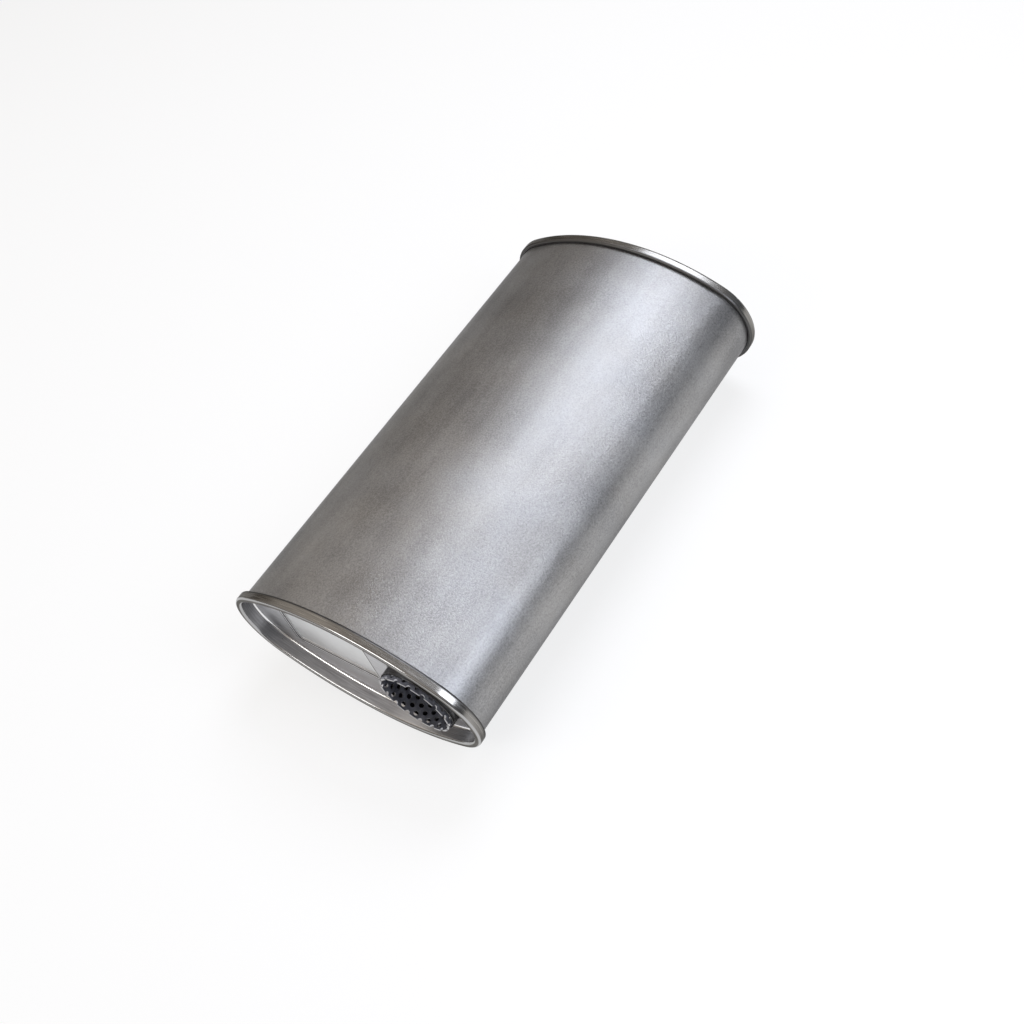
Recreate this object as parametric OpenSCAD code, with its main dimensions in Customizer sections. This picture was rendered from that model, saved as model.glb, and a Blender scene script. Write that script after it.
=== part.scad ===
// Oval absorption silencer with an offset inlet and a centred outlet.
// It lies on its broad side on the two rolled rims. X runs with the gas from inlet to outlet,
// Y runs along the oval's long axis and Z is up, with Z = 0 on the surface it lies on.
// The origin is at the middle of the overall length.

/* [Body] */
// Long axis of the oval over the rolled rims
rim_long = 220; // [200:1:250]
// Short axis of the oval over the rolled rims
rim_short = 118; // [110:1:140]
// Length from the front of one rim to the front of the other
body_len = 392; // [360:1:600]
// Thickness of the shell sheet and of the end cap sheet
sheet = 1; // [0.8:0.1:1.4]

/* [Rolled seams] */
// Width of the rolled seam along the body
seam_w = 8; // [7.5:0.5:12]
// Gap left between the folded layers
fold_gap = 0.1; // [0.05:0.05:0.2]
// Outside radius of the two front edges of the rim
lip_r = 2.2; // [1.8:0.1:2.6]

/* [End caps] */
// Depth of the end plate below the front of the rim
dish = 12; // [9:0.5:16]
// Inside radius where the rim's inner wall turns into the plate
dish_r = 2; // [1:0.5:4]
// Root radius of the flange that turns out round the tube
collar_r = 2.5; // [1.5:0.5:3]
// How far the tube stands out of the flange at each end
tube_show = 3.5; // [2:0.5:5]

/* [Pressed panel] */
// Length of the sunk panel beside the inlet hole
panel_l = 79; // [50:1:82]
// Height of the sunk panel
panel_h = 48; // [30:1:50]
// Distance from the middle of the plate to the middle of the panel
panel_y = 33; // [28:1:36]
// Depth of each of the two steps round the panel
panel_step = 0.9; // [0.4:0.1:1]
// Width of the ledge between the two steps
panel_ledge = 0.8; // [0.6:0.1:2]
// Corner radius of the panel
panel_r = 3; // [2:0.5:6]

/* [Perforated tube] */
// Outside diameter of the perforated tube
tube_d = 57; // [48:0.5:60]
// Wall of the perforated tube
tube_wall = 1.5; // [1.2:0.1:2]
// Distance from the middle of the oval to the inlet's axis
inlet_offset = 57; // [45:1:60]
// How far the tube stands out past the front of the inlet rim
tube_out = 1; // [0.5:0.5:12]
// Straight length from the inlet rim to the first bend
inlet_run = 78; // [60:1:90]
// Centreline radius of both bends
bend_r = 156; // [110:1:180]
// Clearance between the tube and the flanged holes
tube_gap = 0.1; // [0.05:0.05:0.3]

/* [Perforations] */
// Diameter of the round holes
hole_d = 3.6; // [2.5:0.1:4.2]
// Holes in each ring
hole_n = 16; // [12:1:18]
// Distance from one ring of holes to the next
ring_step = 3.3; // [3:0.1:5]
// Rings of holes from the inlet end, the first cut in half by the end of the tube
rings = 7; // [2:1:9]

/* [Outlet neck] */
// Wall of the plain neck inside the outlet end of the tube
neck_wall = 1.4; // [1:0.1:2]
// How far the neck stands out past the front of the outlet rim
neck_out = 20; // [12:1:60]
// How far the neck reaches into the perforated tube
neck_in = 18; // [12:1:40]
// How far the perforated tube stands out of the outlet plate
tube_stub = 8; // [7:0.5:9]
// Clearance between the neck and the perforated tube
neck_gap = 0.1; // [0.05:0.05:0.3]
// Leg of the weld bead round the neck
weld_leg = 2; // [1:0.5:3]

/* [Packing] */
// Clearance left all round the packing
pack_gap = 0.3; // [0.2:0.1:1]

/* [Hidden] */
// 8, 15 and 17 are the sides of a right triangle: the line that joins two arcs of the oval
// leans at that slope, so every centre and radius is a plain number.
run8 = 8;
rise15 = 15;
// Half angle of an end arc
lean = atan(rise15 / run8);
// Neighbouring arcs of the oval overlap by this much, so that they join at any size
lap = 0.002;
// Turn added to each arc before its wedge trims it
spare = 0.02;
// How far cutting shapes run past what they cut
past = 3;
// Overlap of pieces of one sheet: plate and rolled edge, and the halves of a bend
join = 2;
// Clearance between the weld bead and the end of the tube
weld_gap = 0.02;
oval_a = rim_long / 2;
oval_b = rim_short / 2;
end_c = (oval_a - oval_b) * 4 / 3;
side_c = end_c * rise15 / run8;
end_r = oval_a - end_c;
side_r = oval_b + side_c;
// Layers of the rolled seam, from the outside: rim, shell hook, cap hook, shell wall, cap wall
layer = sheet + fold_gap;
seam_t = 5 * sheet + 4 * fold_gap;
fold_t = 3 * sheet + 2 * fold_gap;
fold_r = fold_t / 2;
shell_in = 4 * layer - fold_gap;
hook_root = layer + fold_r;
// Lengthwise stations
overall = tube_out + body_len + neck_out;
x_in = -overall / 2 + tube_out;
x_out = x_in + body_len;
// Tube: two bends of 7-24-25 slope with a straight between them
tube_r = tube_d / 2;
bore_r = tube_r - tube_wall;
hole_seat = tube_r + tube_gap;
s7 = 0.28;
c24 = 0.96;
mid_run = (inlet_offset - 2 * bend_r * (1 - c24)) / s7;
bend_1 = x_in + inlet_run;
bend_2 = bend_1 + 2 * bend_r * s7 + mid_run * c24;
tube_end = x_out - dish + tube_stub;
neck_r = bore_r - neck_gap;
neck_tip = x_out + neck_out;
neck_root = tube_end - neck_in;
steel = [0.72, 0.71, 0.71];
bright = [0.82, 0.82, 0.83];
dark = [0.30, 0.31, 0.34];
wool = [0.86, 0.80, 0.62];

// Wedge that holds one end arc of the oval, seen along X
module end_wedge(s) {
    k = 6;
    w = end_c + run8 * k - lap;
    h = rise15 * k;
    far = oval_a + h;
    polygon([[s * (end_c - lap), 0], [s * w, h], [s * far, h], [s * far, -h], [s * w, -h]]);
}

// Wedge that holds one side arc of the oval, seen along X
module side_wedge(s) {
    k = 6;
    w = end_c + run8 * k;
    h = rise15 * k;
    polygon([[-end_c, 0], [end_c, 0], [w, s * h], [-w, s * h]]);
}

// Solid oval between two stations, its edge moved in from the rim's outside
module oval_block(inset, from, to) {
    h = to - from;
    for (s = [-1, 1]) {
        intersection() {
            translate([0, 0, from]) linear_extrude(h) end_wedge(s);
            translate([s * end_c, 0, from]) arc_sweep(90 - s * 90, lean, 48)
                square([end_r - inset, h]);
        }
        intersection() {
            translate([0, 0, from]) linear_extrude(h) side_wedge(s);
            translate([0, -s * side_c, from]) arc_sweep(s * 90, 90 - lean, 96)
                square([side_r - inset, h]);
        }
    }
}

// Carries a section round the oval. In the section x = 0 is the rim's outside, x < 0 lies
// inward, and y runs along the body.
module oval_sweep(from, to) {
    for (s = [-1, 1]) {
        intersection() {
            translate([0, 0, from]) linear_extrude(to - from) end_wedge(s);
            translate([s * end_c, 0, 0]) arc_sweep(90 - s * 90, lean, 48)
                translate([end_r, 0]) children();
        }
        intersection() {
            translate([0, 0, from]) linear_extrude(to - from) side_wedge(s);
            translate([0, -s * side_c, 0]) arc_sweep(s * 90, 90 - lean, 96)
                translate([side_r, 0]) children();
        }
    }
}

// Section turned about the drawing axis by a half angle each way from a middle direction
module arc_sweep(middle, half, fn) {
    rotate_extrude(start = middle - half - spare, angle = 2 * (half + spare), $fn = fn) children();
}

// Turns the drawing axis into X and lifts the oval onto its rims
module lie_down() {
    translate([0, 0, oval_b]) rotate([90, 0, 90]) children();
}

// One bend of sheet, in section: quarter ring about the origin, outside radius r
module bend(r, turn = 0) {
    rotate(turn) intersection() {
        difference() {
            circle(r = r, $fn = 20);
            circle(r = r - sheet, $fn = 20);
        }
        square(2 * r);
    }
}

// Straight sheet between two corners, in section
module strip(x0, y0, x1, y1) {
    translate([x0, y0]) square([x1 - x0, y1 - y0]);
}

// Cap section from the rim's front (y = 0): rolled rim, hook, inner wall and turned foot
module cap_section() {
    // front of the rim with its two rounded edges
    translate([-lip_r, lip_r]) bend(lip_r, -90);
    translate([-seam_t + lip_r, lip_r]) bend(lip_r, 180);
    strip(-seam_t + lip_r, 0, -lip_r, sheet);
    // outer wall, tight fold and hook
    strip(-sheet, lip_r, 0, seam_w - fold_r);
    translate([-fold_r, seam_w - fold_r]) { bend(fold_r, 0); bend(fold_r, 90); }
    strip(-fold_t, hook_root + layer, -fold_t + sheet, seam_w - fold_r);
    // inner wall and foot
    strip(-seam_t, lip_r, -seam_t + sheet, dish - dish_r);
    translate([-seam_t - dish_r, dish - dish_r]) bend(dish_r + sheet, 0);
    strip(-seam_t - dish_r - 2 * join, dish, -seam_t - dish_r, dish + sheet);
}

// Shell section: wall from rim to rim with a hook folded out and back at each end
module shell_section() {
    strip(-shell_in, hook_root, -shell_in + sheet, body_len - hook_root);
    shell_hook();
    translate([0, body_len]) mirror([0, 1]) shell_hook();
}

module shell_hook() {
    translate([-layer - fold_r, hook_root]) { bend(fold_r, -90); bend(fold_r, 180); }
    strip(-layer - sheet, hook_root, -layer, seam_w - fold_r - fold_gap);
}

// Flange that turns out round a tube hole, about the tube's axis, up to a given depth below
// the rim's front
module collar(front) {
    rotate_extrude($fn = 72) {
        translate([hole_seat + sheet + collar_r, dish - collar_r])
            bend(collar_r + sheet, 90);
        strip(hole_seat, front, hole_seat + sheet, dish - collar_r);
        strip(hole_seat + sheet + collar_r, dish, hole_seat + sheet + collar_r + join, dish + sheet);
    }
}

// Rounded rectangle from a cross of squares and four corner discs
module rounded(l, h, r) {
    translate([-l / 2, -h / 2 + r]) square([l, h - 2 * r]);
    translate([-l / 2 + r, -h / 2]) square([l - 2 * r, h]);
    for (u = [-1, 1], v = [-1, 1])
        translate([u * (l / 2 - r), v * (h / 2 - r)]) circle(r = r, $fn = 24);
}

// Block of the panel's outline, its edge moved in, between two depths
module panel_block(inset, z0, z1) {
    translate([panel_y, 0, z0]) linear_extrude(z1 - z0)
        rounded(panel_l - 2 * inset, panel_h - 2 * inset, panel_r);
}

// End cap with its front at y = 0 of the section, tube hole at hole_y and its flange's front
// at a given depth
module cap(hole_y, front, panel) {
    oval_sweep(-past, dish + sheet + past) cap_section();
    difference() {
        union() {
            oval_block(seam_t + dish_r + join, dish, dish + sheet);
            if (panel) {
                panel_block(-sheet, dish + sheet / 2, dish + sheet + panel_step);
                panel_block(panel_ledge - sheet, dish + sheet, dish + sheet + 2 * panel_step);
            }
        }
        translate([hole_y, 0, dish - past])
            cylinder(r = hole_seat + sheet + collar_r, h = sheet + 2 * past, $fn = 72);
        if (panel) {
            panel_block(0, dish - past, dish + panel_step);
            panel_block(panel_ledge, dish - past, dish + 2 * panel_step);
        }
    }
    translate([hole_y, 0, 0]) collar(front);
}

module shell() {
    color(steel) translate([x_in, 0, 0]) lie_down()
        oval_sweep(-past, body_len + past) shell_section();
}

module inlet_cap() {
    color(bright) translate([x_in, 0, 0]) lie_down() cap(-inlet_offset, tube_show - tube_out, true);
}

module outlet_cap() {
    color(bright) translate([x_out, 0, 0]) mirror([1, 0, 0]) lie_down()
        cap(0, dish - tube_stub + tube_show, false);
}

// Straight length of round bar along X
module bar(x0, x1, r, fn) {
    translate([x0, 0, 0]) rotate([0, 90, 0]) cylinder(r = r, h = x1 - x0, $fn = fn);
}

// The tube's route as a solid bar of radius r, from x0 to x1
module route(r, x0, x1) {
    // inlet straight and the half of the first bend that it runs into
    translate([bend_1, -inlet_offset, 0]) {
        mirror([1, 0, 0]) bar(0, bend_1 - x0, r, 48);
        half_bend(r);
    }
    // leaning straight with the other halves of both bends
    translate([bend_1 + bend_r * s7, -inlet_offset + bend_r * (1 - c24), 0])
        multmatrix([[c24, -s7, 0, 0], [s7, c24, 0, 0], [0, 0, 1, 0], [0, 0, 0, 1]]) {
            bar(0, mid_run, r, 48);
            mirror([1, 0, 0]) half_bend(r);
            translate([mid_run, 0, 0]) mirror([0, 1, 0]) half_bend(r);
        }
    // outlet straight and its half of the second bend
    translate([bend_2, 0, 0]) {
        bar(0, x1 - bend_2, r, 48);
        mirror([1, 0, 0]) mirror([0, 1, 0]) half_bend(r);
    }
}

// Half of a bend, running from the origin along X and turning towards Y. The two halves meet
// at half the 7-24-25 angle, whose slope is 1 in 7, and overlap there.
module half_bend(r) {
    k = 1.4 * bend_r;
    translate([0, bend_r, 0]) intersection() {
        translate([0, 0, -r - past]) linear_extrude(2 * (r + past))
            polygon([[0, 0], [0, -k], [k / 7 + join, -k], [join, 0]]);
        rotate_extrude($fn = 120) translate([bend_r, 0]) circle(r = r, $fn = 48);
    }
}

module core_tube() {
    color(dark) translate([0, 0, oval_b]) difference() {
        route(tube_r, x_in - tube_out, tube_end);
        route(bore_r, x_in - tube_out - past, tube_end + past);
        for (i = [0:rings - 1], j = [0:hole_n - 1])
            translate([x_in - tube_out + i * ring_step, -inlet_offset, 0])
                rotate([(j + (i % 2 == 0 ? 0.5 : 0)) * 360 / hole_n, 0, 0])
                    translate([0, 0, bore_r - tube_wall])
                        cylinder(d = hole_d, h = 3 * tube_wall, $fn = 14);
    }
}

module outlet_neck() {
    color(bright) translate([0, 0, oval_b]) difference() {
        bar(neck_root, neck_tip, neck_r, 72);
        bar(neck_root - past, neck_tip + past, neck_r - neck_wall, 72);
    }
}

module outlet_weld() {
    color(bright) translate([tube_end, 0, oval_b]) rotate([0, 90, 0])
        rotate_extrude($fn = 72) translate([neck_r, 0])
            intersection() {
                translate([-weld_leg / 2, 0]) circle(r = weld_leg, $fn = 32);
                translate([0, weld_gap]) square(2 * weld_leg);
            }
}

// Fibre packing between the shell and the tube, one mat above and one below. At the inlet it
// keeps clear of the sunk panel's back.
module packing(s) {
    foot = dish + sheet + pack_gap;
    translate([0, 0, oval_b]) difference() {
        intersection() {
            rotate([90, 0, 90]) oval_block(shell_in + pack_gap, x_in + foot + 2 * panel_step, x_out - foot);
            translate([x_in, -oval_a, s > 0 ? pack_gap / 2 : -oval_b - pack_gap / 2])
                cube([body_len, 2 * oval_a, oval_b]);
        }
        route(tube_r + pack_gap, x_in, x_out);
    }
}

module packing_upper() { color(wool) packing(1); }
module packing_lower() { color(wool) packing(-1); }

shell();
inlet_cap();
outlet_cap();
core_tube();
outlet_neck();
outlet_weld();
packing_upper();
packing_lower();
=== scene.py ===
import math
from types import SimpleNamespace

import bpy
from mathutils import Matrix, Vector


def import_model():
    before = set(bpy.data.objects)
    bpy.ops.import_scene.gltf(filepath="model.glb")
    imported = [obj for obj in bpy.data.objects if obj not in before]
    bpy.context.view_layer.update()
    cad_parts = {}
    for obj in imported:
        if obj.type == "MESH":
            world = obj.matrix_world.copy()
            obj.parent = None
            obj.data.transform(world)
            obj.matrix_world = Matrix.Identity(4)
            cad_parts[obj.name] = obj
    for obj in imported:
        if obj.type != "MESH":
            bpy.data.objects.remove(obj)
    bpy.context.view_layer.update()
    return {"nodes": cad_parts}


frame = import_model()
nodes = frame["nodes"]
scene = bpy.context.scene
scene.view_settings.view_transform = "Standard"


# ---------------------------------------------------------------- camera, fitted to the photo
CAMERA_AT = Vector((-0.422987, -0.497430, 0.776071))
RIGHT = Vector((0.539903, -0.806608, -0.240600))
DOWN = Vector((-0.737338, -0.315340, -0.597405))
AHEAD = Vector((0.406001, 0.499944, -0.764996))
SENSOR_MM, LENS_MM = 36.0, 44.823
CLIP_START, CLIP_END = 0.01, 50.0


def add_camera():
    data = bpy.data.cameras.new("camera")
    data.sensor_width, data.lens = SENSOR_MM, LENS_MM
    data.clip_start, data.clip_end = CLIP_START, CLIP_END
    obj = bpy.data.objects.new("camera", data)
    scene.collection.objects.link(obj)
    turned = Matrix((RIGHT, -DOWN, -AHEAD)).transposed().to_4x4()
    obj.matrix_world = Matrix.Translation(CAMERA_AT) @ turned
    scene.camera = obj


add_camera()


# ---------------------------------------------------------------- colours
def rgb(r, g, b):
    return (r, g, b, 1.0)


def grey(value):
    return rgb(value, value, value)


# pairs are a noise's dark and light tone
SHELL_TONES = rgb(0.222, 0.221, 0.224), rgb(0.437, 0.436, 0.440)
SHELL_WARMTH = rgb(1.015, 1.0, 0.975)
RIM_TONES = rgb(0.197, 0.19, 0.18), rgb(0.335, 0.323, 0.306)
WALL_TONES = rgb(0.31, 0.31, 0.32), rgb(0.55, 0.55, 0.565)
# painted highlight: the light colour laid on the recess's lower wall beside the tube
WALL_HIGHLIGHT = rgb(0.88, 0.88, 0.89)
LIP = rgb(0.44, 0.44, 0.442)
# painted shade: the near black laid on the rim's back fold, in the crease where the shell meets the
# rim
PAINTED_FOLD_SHADE = rgb(0.11, 0.108, 0.106)
PLATE_TONES = rgb(0.45, 0.45, 0.465), rgb(0.66, 0.66, 0.68)
PANEL_TONES = rgb(0.79, 0.80, 0.81), rgb(0.85, 0.86, 0.87)
# painted highlight: the near white laid on the panel's step ledge and on a line just outside the
# panel
EDGE_HIGHLIGHT = grey(0.95)
STEP_SHADE = rgb(0.08, 0.08, 0.085)
# painted shade: the near black line laid on the plate just outside the panel, standing in for a
# groove's shade
SHADE_LINE = rgb(0.05, 0.05, 0.052)
FILLET = rgb(0.84, 0.84, 0.845)
# painted shade: the dark grey laid on the flange round the tube
FLANGE_SHADE = rgb(0.15, 0.15, 0.155)
# painted shade: the near black laid on the collar where it hugs the perforated tube, seen through
# its holes
COLLAR_SHADE = rgb(0.012, 0.012, 0.014)
TUBE_TONES = rgb(0.17, 0.178, 0.22), rgb(0.38, 0.395, 0.46)
TUBE_PUNCHED, TUBE_CUT = rgb(0.56, 0.565, 0.585), rgb(0.50, 0.50, 0.51)
NECK_TONES = rgb(0.40, 0.395, 0.39), rgb(0.54, 0.535, 0.53)
WELD_STRAW, WELD_BLUE = rgb(0.46, 0.40, 0.30), rgb(0.32, 0.33, 0.40)
WOOL_TONES = rgb(0.62, 0.55, 0.36), rgb(0.86, 0.81, 0.62)
# the second colour is painted shade: the near black laid on the packing next to the tube, seen
# through its holes
WOOL_CLOUD, WOOL_SHADE = rgb(0.72, 0.66, 0.46), rgb(0.012, 0.012, 0.013)

# how bright the metal stays where it is seen at a grazing angle
SHELL_EDGE_TINT, RIM_EDGE_TINT, PLATE_EDGE_TINT = grey(0.5), grey(0.35), grey(0.85)


# ---------------------------------------------------------------- node helpers
# the Mix node's two values and its result, by the kind of data
MIX_SOCKETS = {"FLOAT": (2, 3, 0), "VECTOR": (4, 5, 1), "RGBA": (6, 7, 2)}
# most of a noise lies between these
NOISE_LOW, NOISE_HIGH = 0.3, 0.7


class Graph:
    """Short calls for one node tree. A value is a number, a tuple or another node's socket."""

    def __init__(self, owner, output="ShaderNodeOutputMaterial", coord="Object"):
        owner.use_nodes = True
        self.owner = owner
        self.tree = owner.node_tree
        self.tree.nodes.clear()
        self.out = self.node(output)
        self.coord = self.node("ShaderNodeTexCoord").outputs[coord]

    def node(self, kind, *values, **fields):
        """A node with its fields set and its first inputs filled in order."""
        made = self.tree.nodes.new(kind)
        for key, value in fields.items():
            setattr(made, key, value)
        for socket, value in zip(made.inputs, values):
            self.fill(socket, value)
        return made

    def link(self, source, socket):
        self.tree.links.new(source, socket)

    def fill(self, socket, value):
        if isinstance(value, bpy.types.NodeSocket):
            self.link(value, socket)
        else:
            socket.default_value = value

    def math(self, op, *values, clamp=False):
        return self.node("ShaderNodeMath", *values, operation=op, use_clamp=clamp).outputs[0]

    def add(self, a, b):
        return self.math("ADD", a, b)

    def subtract(self, a, b):
        return self.math("SUBTRACT", a, b)

    def multiply(self, a, b):
        return self.math("MULTIPLY", a, b)

    def absolute(self, a):
        return self.math("ABSOLUTE", a)

    def largest(self, a, b):
        return self.math("MAXIMUM", a, b)

    def vmath(self, op, *values):
        made = self.node("ShaderNodeVectorMath", *values, operation=op)
        return made.outputs["Value" if op in ("LENGTH", "DOT_PRODUCT") else "Vector"]

    def vector(self, x, y, z):
        return self.node("ShaderNodeCombineXYZ", x, y, z).outputs[0]

    def xyz(self, vector=None):
        return self.node("ShaderNodeSeparateXYZ", vector or self.coord).outputs

    def geometry(self, name):
        return self.node("ShaderNodeNewGeometry").outputs[name]

    def noise(self, scale, detail, rough, stretch=None):
        """Noise in the row frame; stretch is the scale along each axis."""
        place = self.coord
        if stretch:
            mapping = self.node("ShaderNodeMapping", place)
            mapping.inputs["Scale"].default_value = stretch
            place = mapping.outputs[0]
        made = self.node("ShaderNodeTexNoise", place)
        made.inputs["Scale"].default_value = scale
        made.inputs["Detail"].default_value = detail
        made.inputs["Roughness"].default_value = rough
        return made.outputs["Fac"]

    def remap(self, value, from_low, from_high, to_low, to_high, smooth=False):
        made = self.node(
            "ShaderNodeMapRange", value, from_low, from_high, to_low, to_high,
            interpolation_type="SMOOTHSTEP" if smooth else "LINEAR")
        return made.outputs["Result"]

    def rises(self, value, start, end):
        """0 up to the start, 1 from the end on."""
        return self.remap(value, start, end, 0.0, 1.0)

    def falls(self, value, start, end):
        """1 up to the start, 0 from the end on."""
        return self.remap(value, start, end, 1.0, 0.0)

    def spread(self, noise, low, high):
        """A noise stretched so that most of it runs from low to high."""
        return self.remap(noise, NOISE_LOW, NOISE_HIGH, low, high)

    def mixed(self, kind, share, a, b, blend="MIX"):
        """From a to b by the share of b."""
        first, second, result = MIX_SOCKETS[kind]
        made = self.node("ShaderNodeMix", share, data_type=kind, blend_type=blend)
        self.fill(made.inputs[first], a)
        self.fill(made.inputs[second], b)
        return made.outputs[result]

    def mix(self, share, a, b, blend="MIX"):
        return self.mixed("RGBA", share, a, b, blend)

    def tones(self, noise, dark, light):
        return self.mix(self.rises(noise, NOISE_LOW, NOISE_HIGH), dark, light)

    def above(self, value, limit, soft):
        """1 where the value is over the limit, with a soft step."""
        return self.remap(value, limit - soft, limit + soft, 0.0, 1.0, True)

    def below(self, value, limit, soft):
        """1 where the value is under the limit, with a soft step."""
        return self.remap(value, limit - soft, limit + soft, 1.0, 0.0, True)

    def between(self, value, low, high, soft_low, soft_high=None):
        """1 between two limits, with a soft step at each."""
        return self.all_of(
            self.above(value, low, soft_low), self.below(value, high, soft_high or soft_low))

    def all_of(self, *masks):
        """Masks multiplied together."""
        made = masks[0]
        for mask in masks[1:]:
            made = self.multiply(made, mask)
        return made

    def inverse(self, mask):
        return self.subtract(1.0, mask)

    def bump(self, height, distance, strength, normal=None):
        made = self.node("ShaderNodeBump")
        made.inputs["Distance"].default_value = distance
        made.inputs["Strength"].default_value = strength
        self.link(height, made.inputs["Height"])
        if normal is not None:
            self.link(normal, made.inputs["Normal"])
        return made.outputs[0]

    def principled(self, **sockets):
        made = self.node("ShaderNodeBsdfPrincipled")
        for key, value in sockets.items():
            self.fill(made.inputs[key.replace("_", " ")], value)
        self.link(made.outputs[0], self.out.inputs["Surface"])


def material_graph(name):
    return Graph(bpy.data.materials.new(name))


def dress(material, *names):
    for name in names:
        mesh = nodes[name].data
        mesh.materials.clear()
        mesh.materials.append(material)


# ---------------------------------------------------------------- places, in metres
INLET_FRONT, OUTLET_FRONT = -0.2055, 0.1865
BODY_MID = (INLET_FRONT + OUTLET_FRONT) / 2
BODY_HALF = (OUTLET_FRONT - INLET_FRONT) / 2
AXIS_Z = 0.059

# the oval's arcs: centres of the end arcs and side arcs, and the way to the point where two meet
END_C, SIDE_C = 0.068, 0.1275
MEET_Y, MEET_Z = 8 / 17, 15 / 17
ARC_EASE = 0.008

# the tube, from its mouth along its two bends
INLET_Y = -0.057
TUBE_MOUTH = -0.2065
TUBE_R = 0.0285
BEND_1, BEND_2 = -0.1275, 0.1125

# depths behind a rim's front
WALL_START = 0.0006
LIP_END = 0.0032
FOLD_START = 0.0062
DISH = 0.012
FILLET_START, FOLD_END, PLATE_START = DISH - 0.0032, DISH - 0.003, DISH - 0.0012
SUNK_START, PANEL_START = DISH + 0.0002, DISH + 0.001

# the sunk panel, and its edge's stripes by their distance outside its outline
PANEL_Y, PANEL_L, PANEL_H, PANEL_R = 0.033, 0.079, 0.048, 0.003
PANEL_LEDGE = 0.0008
PANEL_FLOOR_OUTER = -PANEL_LEDGE - 0.0002
STEPS_INNER, STEPS_OUTER = -PANEL_LEDGE - 0.0004, 0.0004
STEP_WALL_INNER, STEP_WALL_OUTER = -0.0006, -0.0002
# where the painted highlight line outside the panel ends
HIGHLIGHT_LINE_OUTER = 0.0006
# where the painted shade line outside the panel lies
SHADE_LINE_INNER, SHADE_LINE_OUTER = 0.0008, 0.0017

# the painted highlight on the recess's lower wall, beside the tube
HIGHLIGHT_Y, HIGHLIGHT_CORE, HIGHLIGHT_REACH = -0.036, 0.004, 0.030

# how far round the tube the flange gets painted shade and the collar a darker painted shade, and
# the radius of the packing's painted shade
FLANGE_SHADE_REACH, COLLAR_SHADE_REACH, WOOL_SHADE_R = 0.0032, 0.0006, 0.0345

# how far the tube's bright cut end reaches, and by what radius the rims' edges look rounded
CUT_END, EDGE_ROUNDING = 0.00006, 0.0004

# half the width of the masks' soft steps
CRISP, FINE, SOFT, SOFTER = 0.0001, 0.0002, 0.0004, 0.0006

# how many ripples the weld has round the neck
WELD_RIPPLES = 90.0

# how strongly a colour covers what is under it
HIGHLIGHT_SHARE, SHADE_LINE_SHARE, FLANGE_SHADE_SHARE, PUNCHED_SHARE = 0.85, 0.95, 0.75, 0.85


def from_line(g, y, z, line_y):
    """Distance from a line along X at a given Y, at the height of the axis."""
    dy, dz = g.subtract(y, line_y), g.subtract(z, AXIS_Z)
    return g.math("SQRT", g.add(g.multiply(dy, dy), g.multiply(dz, dz)))


def oval_way(g, y, z):
    """Unit vector straight out of the four-arc oval, eased where two arcs meet."""
    rise = g.subtract(z, AXIS_Z)
    far, up = g.absolute(y), g.absolute(rise)
    past = g.subtract(far, END_C)
    over = g.subtract(g.multiply(past, MEET_Z), g.multiply(up, MEET_Y))
    at_end = g.vmath("NORMALIZE", g.vector(0.0, past, up))
    at_side = g.vmath("NORMALIZE", g.vector(0.0, far, g.add(up, SIDE_C)))
    eased = g.mixed("VECTOR", g.above(over, 0.0, ARC_EASE), at_side, at_end)
    way = g.xyz(g.vmath("NORMALIZE", eased))
    return g.vector(
        0.0, g.multiply(way[1], g.math("SIGN", y)), g.multiply(way[2], g.math("SIGN", rise)))


def swept_normal(g, normal, way):
    """The normal without the mesh's facets where the sheet follows the oval, and a mask
    that is 1 there."""
    out, n = g.xyz(way), g.xyz(normal)
    reach = g.math("SQRT", g.add(g.multiply(n[1], n[1]), g.multiply(n[2], n[2])))
    never_zero = g.largest(reach, 0.0001)
    lean = g.math("DIVIDE", g.vmath("DOT_PRODUCT", normal, way), never_zero)
    side = g.multiply(g.math("SIGN", lean), reach)
    exact = g.vector(n[0], g.multiply(side, out[1]), g.multiply(side, out[2]))
    follows = g.rises(g.absolute(lean), 0.98, 0.99)
    return g.vmath("NORMALIZE", g.mixed("VECTOR", follows, normal, exact)), follows


def from_panel(g, y, z):
    """Distance outside the sunk panel's rounded outline, less than 0 inside it."""
    across = g.subtract(g.absolute(g.subtract(y, PANEL_Y)), PANEL_L / 2 - PANEL_R)
    up = g.subtract(g.absolute(g.subtract(z, AXIS_Z)), PANEL_H / 2 - PANEL_R)
    corner = g.vector(g.largest(across, 0.0), g.largest(up, 0.0), 0.0)
    inner = g.math("MINIMUM", g.largest(across, up), 0.0)
    return g.subtract(g.add(g.vmath("LENGTH", corner), inner), PANEL_R)


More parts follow.
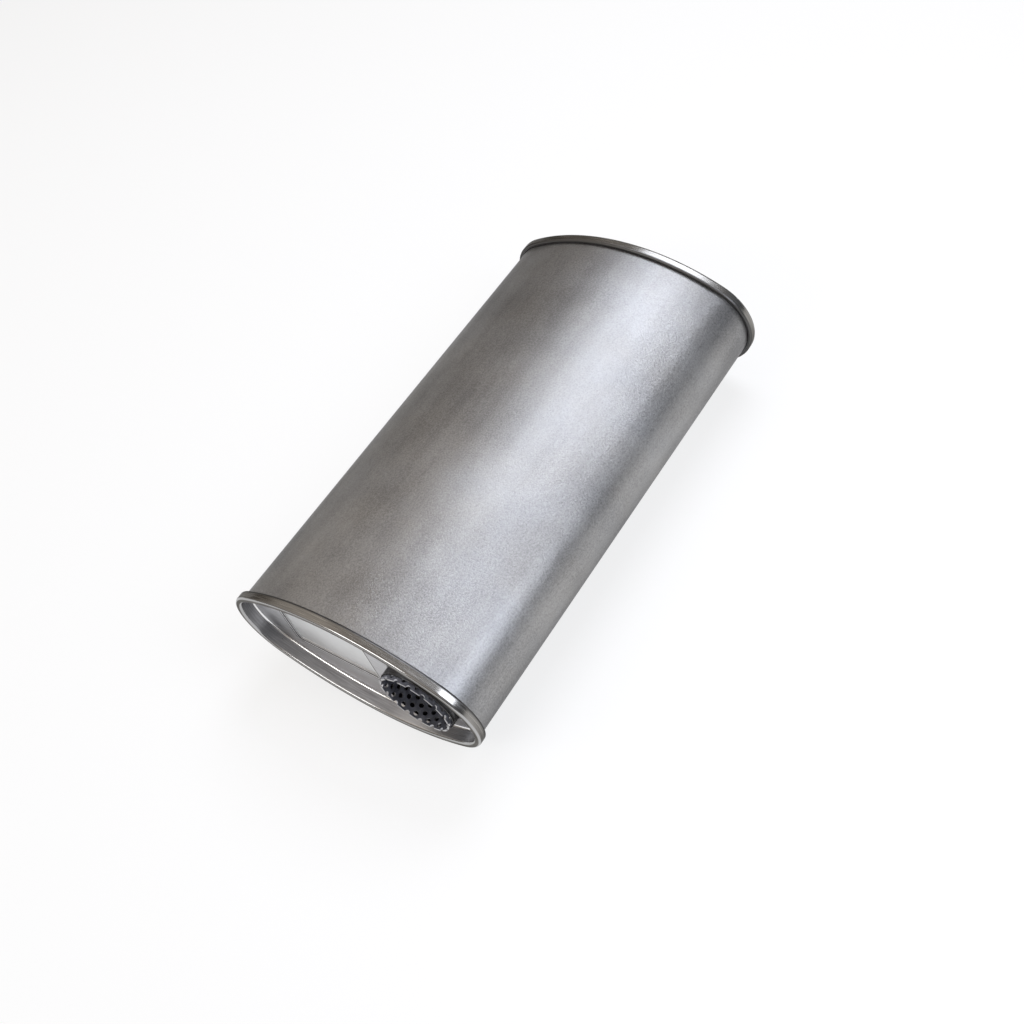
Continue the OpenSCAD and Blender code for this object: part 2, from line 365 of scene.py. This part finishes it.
# ---------------------------------------------------------------- shell
def shell_material():
    """Satin rolled sheet: fine grain, faint cloudy patches and a few long handling marks."""
    g = material_graph("shell_satin_steel")
    _, y, z = g.xyz()
    grain = g.noise(scale=750.0, detail=3.0, rough=0.7)
    speck = g.noise(scale=2400.0, detail=2.0, rough=0.6)
    cloud = g.noise(scale=13.0, detail=4.0, rough=0.55)
    patch = g.noise(scale=19.0, detail=3.0, rough=0.6)
    streak = g.noise(scale=26.0, detail=3.0, rough=0.6, stretch=(0.25, 2.0, 2.0))
    tone = g.add(g.spread(cloud, -0.5, 0.5), g.spread(streak, -0.3, 0.3))
    tone = g.add(tone, g.spread(grain, -0.8, 0.8))
    base = g.mix(g.rises(tone, -1.0, 1.0), *SHELL_TONES)
    base = g.mix(g.rises(patch, 0.35, 0.65), base, SHELL_WARMTH, "MULTIPLY")
    rough = g.add(g.spread(cloud, 0.385, 0.44), g.spread(grain, -0.06, 0.06))
    smooth, _ = swept_normal(g, g.geometry("Normal"), oval_way(g, y, z))
    relief = g.add(grain, g.multiply(speck, 0.5))
    normal = g.bump(relief, distance=0.0002, strength=0.8, normal=smooth)
    g.principled(
        Base_Color=base, Metallic=1.0, Roughness=rough, Normal=normal,
        Specular_Tint=SHELL_EDGE_TINT)
    return g.owner


# ---------------------------------------------------------------- caps
def cap_marks(g):
    """The noises that all parts of a cap share."""
    return SimpleNamespace(
        cloud=g.noise(scale=24.0, detail=4.0, rough=0.55),
        grain=g.noise(scale=1000.0, detail=3.0, rough=0.65),
        rolled=g.noise(scale=420.0, detail=3.0, rough=0.6, stretch=(3.0, 0.12, 0.12)),
        brushed=g.noise(scale=330.0, detail=4.0, rough=0.65, stretch=(1.0, 0.15, 2.2)))


def cap_places(g):
    """Masks for the parts of a cap, and its normal, smooth round the oval and rounded a little
    at the rim's edges."""
    x, y, z = g.xyz()
    at = SimpleNamespace(y=y, z=z, outside=from_panel(g, y, z))
    at.depth = g.subtract(BODY_HALF, g.absolute(g.subtract(x, BODY_MID)))
    at.inlet = g.below(x, 0.0, soft=0.01)
    at.plate = g.above(at.depth, PLATE_START, SOFTER)
    at.sunk = g.above(at.depth, SUNK_START, CRISP)
    at.steps = g.all_of(at.sunk, g.between(at.outside, STEPS_INNER, STEPS_OUTER, FINE))

    way = oval_way(g, y, z)
    facing = g.geometry("True Normal")
    edges = g.node("ShaderNodeBevel", EDGE_ROUNDING, samples=8)
    sheet = g.mixed("VECTOR", at.plate, edges.outputs[0], g.geometry("Normal"))
    at.normal, follows = swept_normal(g, sheet, way)
    at.upright = g.falls(g.absolute(g.xyz(facing)[0]), 0.5, 0.7)
    faces_in = g.falls(g.vmath("DOT_PRODUCT", facing, way), -0.45, -0.25)
    at.wall = g.all_of(faces_in, g.above(at.depth, WALL_START, SOFTER))

    # edges are where the sheet turns from along X to across it
    turn = g.absolute(g.xyz(at.normal)[0])
    rounded = g.all_of(follows, g.rises(turn, 0.25, 0.45), g.falls(turn, 0.86, 0.96))
    at.lip = g.all_of(rounded, g.below(at.depth, LIP_END, SOFT))
    at.fillet = g.all_of(rounded, g.above(at.depth, FILLET_START, SOFT))
    behind = g.between(at.depth, FOLD_START, FOLD_END, SOFTER, SOFT)
    at.fold = g.all_of(g.inverse(faces_in), behind)
    return at


def rim_colour(g, at, marks):
    """The rolled rim with its two edges, painted shade on the back one, and the recess's wall with
    a painted highlight beside the tube.
    """
    wall = g.tones(marks.rolled, *WALL_TONES)
    beside = g.absolute(g.subtract(at.y, HIGHLIGHT_Y))
    # painted highlight on the recess's lower wall, beside the tube
    painted_highlight = g.all_of(
        at.inlet, g.below(at.z, AXIS_Z, soft=0.004),
        g.remap(beside, HIGHLIGHT_CORE, HIGHLIGHT_REACH, 1.0, 0.0, smooth=True))
    wall = g.mix(g.multiply(painted_highlight, HIGHLIGHT_SHARE), wall, WALL_HIGHLIGHT)
    base = g.mix(at.wall, g.tones(marks.rolled, *RIM_TONES), wall)
    base = g.mix(at.lip, base, LIP)
    # painted shade in the crease where the shell meets the rim
    return g.mix(at.fold, base, PAINTED_FOLD_SHADE)


def plate_colour(g, at, marks, base):
    """The plate with its sunk panel: painted highlight on the edge's ledge, painted shade on its
    walls, darkest on the outer one, then a painted highlight line and a painted shade line on the
    plate."""
    base = g.mix(at.plate, base, g.tones(marks.brushed, *PLATE_TONES))
    panel_floor = g.all_of(
        g.below(at.outside, PANEL_FLOOR_OUTER, FINE), g.above(at.depth, PANEL_START, FINE))
    base = g.mix(panel_floor, base, g.tones(marks.cloud, *PANEL_TONES))
    # painted highlight on the panel's step ledge
    base = g.mix(at.steps, base, EDGE_HIGHLIGHT)
    shade = g.remap(at.outside, STEP_WALL_INNER, STEP_WALL_OUTER, 0.45, 0.9)
    base = g.mix(g.all_of(at.steps, at.upright, shade), base, STEP_SHADE)

    level = g.all_of(at.inlet, at.plate, g.inverse(at.sunk))
    # painted highlight line on the plate just outside the panel
    highlight_line_mask = g.all_of(level, g.between(at.outside, 0.0, HIGHLIGHT_LINE_OUTER, CRISP))
    # painted shade line on the plate a little further out
    shade_line_mask = g.all_of(level, g.between(at.outside, SHADE_LINE_INNER, SHADE_LINE_OUTER, CRISP, FINE))
    base = g.mix(highlight_line_mask, base, EDGE_HIGHLIGHT)
    base = g.mix(g.multiply(shade_line_mask, SHADE_LINE_SHARE), base, SHADE_LINE)
    return g.mix(at.fillet, base, FILLET)


def flange_colour(g, at, base):
    """The flange, darker than the plate by painted shade round the tube, and near black painted
    shade where it hugs the perforated tube.
    """
    radius = from_line(g, at.y, at.z, g.multiply(at.inlet, INLET_Y))
    # painted shade on the flange round the tube
    shaded_flange = g.below(radius, TUBE_R + FLANGE_SHADE_REACH, soft=0.0008)
    base = g.mix(g.multiply(shaded_flange, FLANGE_SHADE_SHARE), base, FLANGE_SHADE)
    # painted shade on the collar close round the tube
    return g.mix(g.below(radius, TUBE_R + COLLAR_SHADE_REACH, FINE), base, COLLAR_SHADE)


def cap_roughness(g, at, marks):
    """Smoothest on the polished edges, dullest in the fold and on the panel's steps."""
    rim = g.add(g.spread(marks.rolled, 0.13, 0.27), g.spread(marks.cloud, 0.0, 0.04))
    plate = g.add(g.spread(marks.brushed, 0.26, 0.36), g.spread(marks.cloud, 0.0, 0.05))
    rough = g.mixed("FLOAT", g.largest(at.plate, at.wall), rim, plate)
    rough = g.mixed("FLOAT", g.largest(at.lip, at.fillet), rough, 0.14)
    return g.mixed("FLOAT", g.largest(at.fold, at.steps), rough, 0.38)


def cap_material():
    """Pressed sheet: rims polished by the seaming rolls, drawn walls, duller plates."""
    g = material_graph("cap_pressed_steel")
    marks, at = cap_marks(g), cap_places(g)
    base = rim_colour(g, at, marks)
    base = plate_colour(g, at, marks, base)
    base = flange_colour(g, at, base)
    height = g.add(g.multiply(marks.rolled, 0.5), g.multiply(marks.grain, 0.4))
    normal = g.bump(height, distance=0.000008, strength=0.5, normal=at.normal)
    seen_flat = g.largest(g.largest(at.plate, at.wall), at.lip)
    g.principled(
        Base_Color=base, Metallic=1.0, Roughness=cap_roughness(g, at, marks), Normal=normal,
        Specular_Tint=g.mix(seen_flat, RIM_EDGE_TINT, PLATE_EDGE_TINT))
    return g.owner


# ---------------------------------------------------------------- tube, neck, weld and packing
def tube_material():
    """Dark perforated sheet with bright cut edges at its end and in the punched holes."""
    g = material_graph("tube_dark_steel")
    x, y, z = g.xyz()
    cloud = g.noise(scale=180.0, detail=4.0, rough=0.65)
    grain = g.noise(scale=1500.0, detail=3.0, rough=0.6)
    # walls of the punched holes stand square to the radius
    radius = g.vmath("NORMALIZE", g.vector(0.0, g.subtract(y, INLET_Y), g.subtract(z, AXIS_Z)))
    along = g.absolute(g.vmath("DOT_PRODUCT", g.geometry("True Normal"), radius))
    punched = g.all_of(g.falls(along, 0.5, 0.75), g.below(x, BEND_1, soft=0.004))
    base = g.tones(cloud, *TUBE_TONES)
    base = g.mix(g.multiply(punched, PUNCHED_SHARE), base, TUBE_PUNCHED)
    base = g.mix(g.below(x, TUBE_MOUTH + CUT_END, soft=0.00004), base, TUBE_CUT)
    g.principled(
        Base_Color=base, Metallic=0.75, Roughness=g.spread(cloud, 0.34, 0.46),
        Normal=g.bump(grain, distance=0.00006, strength=0.5))
    return g.owner


def neck_material():
    """Drawn tube with fine marks along it."""
    g = material_graph("neck_drawn_steel")
    cloud = g.noise(scale=30.0, detail=4.0, rough=0.55)
    drawn = g.noise(scale=400.0, detail=3.0, rough=0.6, stretch=(0.06, 1.0, 1.0))
    tone = g.add(g.multiply(cloud, 0.5), g.multiply(drawn, 0.5))
    g.principled(
        Base_Color=g.mix(g.rises(tone, 0.35, 0.65), *NECK_TONES), Metallic=1.0,
        Roughness=g.spread(drawn, 0.26, 0.38),
        Normal=g.bump(drawn, distance=0.00006, strength=0.5))
    return g.owner


def weld_material():
    """Bead with overlapping ripples and a straw to blue heat tint."""
    g = material_graph("weld_bead_steel")
    _, y, z = g.xyz()
    angle = g.math("ARCTAN2", g.subtract(z, AXIS_Z), y)
    ripple = g.math("SINE", g.multiply(angle, WELD_RIPPLES))
    cloud = g.noise(scale=90.0, detail=3.0, rough=0.6)
    tint = g.mix(g.rises(cloud, 0.35, 0.65), WELD_STRAW, WELD_BLUE)
    normal = g.bump(g.add(g.multiply(ripple, 0.5), cloud), distance=0.0003, strength=0.8)
    g.principled(Base_Color=tint, Metallic=1.0, Roughness=0.3, Normal=normal)
    return g.owner


def packing_material():
    """Long-strand mineral wool, with near black painted shade where it lies against the tube."""
    g = material_graph("packing_mineral_wool")
    x, y, z = g.xyz()
    strand = g.noise(scale=160.0, detail=5.0, rough=0.7, stretch=(0.4, 2.0, 2.0))
    cloud = g.noise(scale=40.0, detail=4.0, rough=0.6)
    base = g.tones(strand, *WOOL_TONES)
    base = g.mix(g.remap(cloud, 0.4, 0.8, 0.0, 0.5), base, WOOL_CLOUD)
    line_y = g.remap(x, BEND_1, BEND_2, INLET_Y, 0.0, smooth=True)
    # painted shade on the packing next to the tube
    shaded_wool = g.below(from_line(g, y, z, line_y), WOOL_SHADE_R, soft=0.002)
    base = g.mix(shaded_wool, base, WOOL_SHADE)
    g.principled(
        Base_Color=base, Roughness=0.9, Sheen_Weight=0.1,
        Normal=g.bump(strand, distance=0.001, strength=0.9))
    return g.owner


dress(shell_material(), "shell")
dress(cap_material(), "inlet_cap", "outlet_cap")
dress(tube_material(), "core_tube")
dress(neck_material(), "outlet_neck")
dress(weld_material(), "outlet_weld")
dress(packing_material(), "packing_upper", "packing_lower")


# ---------------------------------------------------------------- floor
FLOOR_HALF = 30.0
FLOOR_DROP = 0.0004
FLOOR_GREY = grey(0.26)
FLOOR_GLOW = 0.73


def floor():
    """White where it is seen, mirrored or seen through; grey for the light it gives back."""
    mesh = bpy.data.meshes.new("floor")
    corners = [(x * FLOOR_HALF, y * FLOOR_HALF, 0) for x, y in ((-1, -1), (1, -1), (1, 1), (-1, 1))]
    mesh.from_pydata(corners, [], [(0, 1, 2, 3)])
    obj = bpy.data.objects.new("floor", mesh)
    obj.location = (0, 0, -FLOOR_DROP)
    scene.collection.objects.link(obj)
    g = material_graph("floor_white")
    path = g.node("ShaderNodeLightPath").outputs
    seen = g.math("ADD", path["Is Camera Ray"], path["Is Glossy Ray"], clamp=True)
    seen = g.math("ADD", seen, path["Is Transmission Ray"], clamp=True)
    diffuse = g.node("ShaderNodeBsdfDiffuse", FLOOR_GREY)
    glow = g.node("ShaderNodeEmission", grey(1.0), g.multiply(seen, FLOOR_GLOW))
    summed = g.node("ShaderNodeAddShader", diffuse.outputs[0], glow.outputs[0])
    g.link(summed.outputs[0], g.out.inputs["Surface"])
    mesh.materials.append(g.owner)


floor()


# ---------------------------------------------------------------- light
WHITE, COOL, WARM = (1, 1, 1), (0.93, 0.98, 1.09), (1.05, 1.0, 0.95)

# the world from level to straight up, times its sides from the camera's right to its left
WORLD_HEIGHTS = (
    (0.0, rgb(0.112, 0.108, 0.104)),
    (0.35, rgb(0.272, 0.268, 0.264)),
    (1.0, rgb(0.60, 0.585, 0.57)),
)
WORLD_SIDES = (
    (0.0, rgb(0.60, 0.65, 0.73)),
    (0.66, rgb(0.685, 0.63, 0.57)),
    (0.85, rgb(1.0, 0.92, 0.83)),
)
WORLD_LEFT = (-0.5, 0.85, 0.0)
WORLD_STRENGTH = 1.4


def softbox(name, centre, target, width, height, radiance, colour=WHITE):
    """A rectangular lamp turned to its target; the radiance is how bright its face looks."""
    data = bpy.data.lights.new(name, "AREA")
    data.shape = "RECTANGLE"
    data.size, data.size_y = width, height
    data.energy = radiance * math.pi * width * height
    data.color = colour
    obj = bpy.data.objects.new(name, data)
    obj.location = centre
    way = Vector(target) - Vector(centre)
    obj.rotation_euler = way.to_track_quat("-Z", "Y").to_euler()
    scene.collection.objects.link(obj)


def ramp(g, value, stops):
    """Colours along a value; each stop is a place and a colour."""
    made = g.node("ShaderNodeValToRGB", value)
    elements = made.color_ramp.elements
    for element, stop in zip(elements, (stops[0], stops[-1])):
        element.position, element.color = stop
    for place, colour in stops[1:-1]:
        elements.new(place).color = colour
    return made.outputs["Color"]


def world():
    """A plain room: lighter upwards, cool on the camera's right, warm and lighter on its left."""
    scene.world = bpy.data.worlds.new("studio")
    g = Graph(scene.world, "ShaderNodeOutputWorld", "Generated")
    upwards = ramp(g, g.xyz()[2], WORLD_HEIGHTS)
    leftwards = g.vmath("DOT_PRODUCT", g.coord, WORLD_LEFT)
    sideways = ramp(g, g.remap(leftwards, -1.0, 1.0, 0.0, 1.0), WORLD_SIDES)
    tinted = g.mix(1.0, upwards, sideways, "MULTIPLY")
    background = g.node("ShaderNodeBackground", tinted, WORLD_STRENGTH)
    g.link(background.outputs[0], g.out.inputs["Surface"])


softbox("softbox_far", centre=(0.725, -0.005, 1.25), target=(0.05, -0.005, 0.1),
        width=0.75, height=0.665, radiance=5.35, colour=COOL)
softbox("softbox_side", centre=(-0.03, -0.69, 0.70), target=(-0.07, -0.05, 0.1),
        width=0.28, height=0.54, radiance=7.0, colour=COOL)
softbox("softbox_back", centre=(-1.35, 0.42, 1.2), target=(-0.1, 0.05, 0.1),
        width=1.05, height=0.45, radiance=4.5)
softbox("softbox_left", centre=(0.1, 0.95, 0.85), target=(-0.15, 0.0, 0.1),
        width=1.0, height=0.9, radiance=0.29, colour=WARM)
world()
